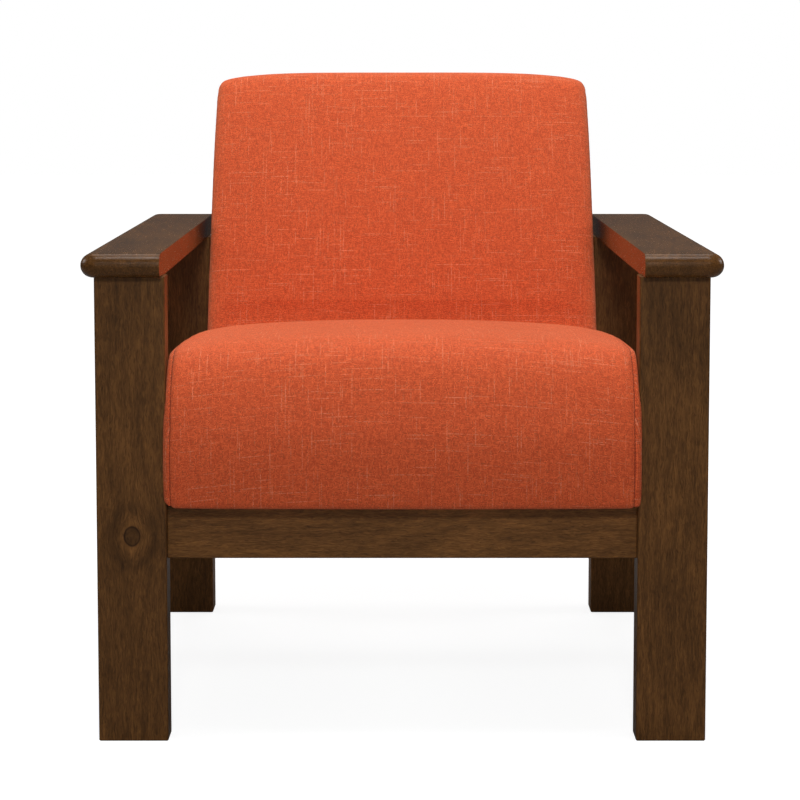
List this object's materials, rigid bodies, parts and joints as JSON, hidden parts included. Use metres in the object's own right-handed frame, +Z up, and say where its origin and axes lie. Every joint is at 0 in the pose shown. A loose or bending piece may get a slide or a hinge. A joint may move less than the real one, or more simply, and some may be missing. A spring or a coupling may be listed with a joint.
{
  "type": "upholstered armchair",
  "caption": "Wood-framed armchair with broad flat arms, board legs, a thick crowned upholstered seat and a reclined upholstered back.",
  "frame": {"origin": "on the floor under the middle of the whole chair's bounding box", "axes": "+X to the right as seen from the front, -Y towards the front, +Z up"},
  "size_m": [0.71, 0.748, 0.75],
  "materials": {
    "walnut": "dark walnut stain under a satin lacquer, grain along each board",
    "frame_timber": "planed pale softwood, unfinished",
    "beech": "fluted beech dowel, unfinished",
    "zinc_steel": "zinc-plated steel",
    "spring_steel": "dark oiled spring steel",
    "felt": "grey needled felt",
    "foam": "pale open-cell foam",
    "linen": "burnt orange linen-look plain weave with slubs",
    "black_cloth": "black non-woven cloth",
    "webbing": "elastic furniture webbing",
    "board": "brown fibre board"
  },
  "bodies": {
    "root": {"arm_dowels": "beech", "arm_left": "walnut", "arm_right": "walnut", "back_bolts": "zinc_steel", "back_bottom_rail": "frame_timber", "back_cover": "linen", "back_foam": "foam", "back_inserts": "zinc_steel", "back_middle_rail": "frame_timber", "back_rear_board": "board", "back_screws": "zinc_steel", "back_stile_left": "frame_timber", "back_stile_right": "frame_timber", "back_top_rail": "frame_timber", "back_webbing": "webbing", "cleat_screws": "zinc_steel", "frame_corner_blocks": "frame_timber", "front_leg_left": "walnut", "front_leg_right": "walnut", "front_rail": "walnut", "rail_dowels": "beech", "rear_leg_left": "walnut", "rear_leg_right": "walnut", "rear_lower_rail": "walnut", "rear_upper_rail": "walnut", "seat_bolts": "zinc_steel", "seat_cleat_left": "frame_timber", "seat_cleat_right": "frame_timber", "seat_cover": "linen", "seat_dust_cover": "black_cloth", "seat_foam": "foam", "seat_frame_blocks": "frame_timber", "seat_frame_front": "frame_timber", "seat_frame_left": "frame_timber", "seat_frame_rear": "frame_timber", "seat_frame_right": "frame_timber", "seat_inserts": "zinc_steel", "seat_springs": "spring_steel", "side_rail_left": "walnut", "side_rail_right": "walnut", "spring_clips": "spring_steel", "spring_pad": "felt"}
  },
  "joints": []
}
